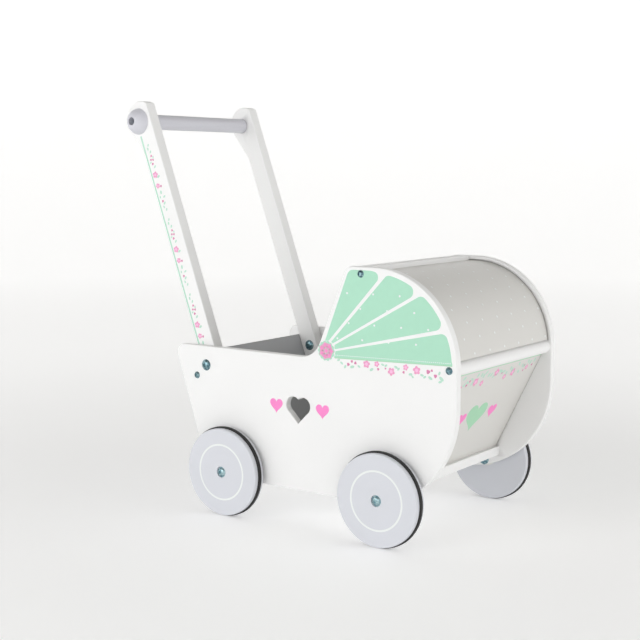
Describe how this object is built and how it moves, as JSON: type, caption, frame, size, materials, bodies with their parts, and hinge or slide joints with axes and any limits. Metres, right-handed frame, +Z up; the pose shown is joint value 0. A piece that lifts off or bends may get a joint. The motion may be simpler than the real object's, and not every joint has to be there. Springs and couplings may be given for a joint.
{
  "type": "doll stroller",
  "caption": "Wooden doll's pram: shaped side panels with heart windows, rounded hood, boarded bucket, raked push handle and free-turning wheels with rubber rings.",
  "frame": {"origin": "on the floor, below the middle of the overall length, on the mid-plane between the side panels", "axes": "+X the way the pram is pushed, from handle to hood; +Y to the left; +Z up"},
  "size_m": [0.4559, 0.2598, 0.47],
  "materials": {
    "white_paint": "satin white lacquer on medium-density fibreboard",
    "pale_paint": "matt pale grey lacquer on thin board",
    "dark_paint": "matt dark grey lacquer",
    "grey_paint": "satin light grey lacquer on turned wood",
    "wheel_paint": "satin light grey lacquer on turned discs",
    "rubber_ring": "matt black rubber",
    "zinc": "blue-passivated zinc plate",
    "nylon": "natural nylon",
    "mint_ink": "screen-printed mint ink",
    "green_ink": "screen-printed green ink",
    "pink_ink": "screen-printed pink ink",
    "rose_ink": "screen-printed rose ink",
    "white_ink": "screen-printed white ink"
  },
  "bodies": {
    "chassis": {"side_panel_right": "white_paint", "side_panel_left": "white_paint", "hood_top_rail": "white_paint", "hood_front_rod": "white_paint", "floor_panel": "white_paint", "handle_arm_right": "white_paint", "handle_arm_left": "white_paint", "hood_sheet": "pale_paint", "front_panel": "pale_paint", "rear_panel": "dark_paint", "handle_bar": "grey_paint", "handle_cap_right": "grey_paint", "handle_cap_left": "grey_paint", "wheel_bolts": "zinc", "wheel_washers": "zinc", "axle_sleeve_nuts": "zinc", "arm_bolts": "zinc", "arm_sleeve_nuts": "zinc", "handle_screws": "zinc", "hood_screws": "zinc", "rear_panel_screws": "zinc", "wheel_spacers": "nylon"},
    "wheel_assembly_front_right": {"wheel_front_right": "wheel_paint", "tyre_front_right": "rubber_ring"},
    "wheel_assembly_front_left": {"wheel_front_left": "wheel_paint", "tyre_front_left": "rubber_ring"},
    "wheel_assembly_rear_right": {"wheel_rear_right": "wheel_paint", "tyre_rear_right": "rubber_ring"},
    "wheel_assembly_rear_left": {"wheel_rear_left": "wheel_paint", "tyre_rear_left": "rubber_ring"}
  },
  "joints": [
    {"name": "front_right_wheel_spin", "type": "hinge", "parent": "chassis", "child": "wheel_assembly_front_right", "pos_m": [0.14447, -0.1215, 0.051], "axis": [0, 1, 0], "continuous": true},
    {"name": "front_left_wheel_spin", "type": "hinge", "parent": "chassis", "child": "wheel_assembly_front_left", "pos_m": [0.14447, 0.1215, 0.051], "axis": [0, 1, 0], "continuous": true},
    {"name": "rear_right_wheel_spin", "type": "hinge", "parent": "chassis", "child": "wheel_assembly_rear_right", "pos_m": [-0.06453, -0.1215, 0.051], "axis": [0, 1, 0], "continuous": true},
    {"name": "rear_left_wheel_spin", "type": "hinge", "parent": "chassis", "child": "wheel_assembly_rear_left", "pos_m": [-0.06453, 0.1215, 0.051], "axis": [0, 1, 0], "continuous": true}
  ]
}
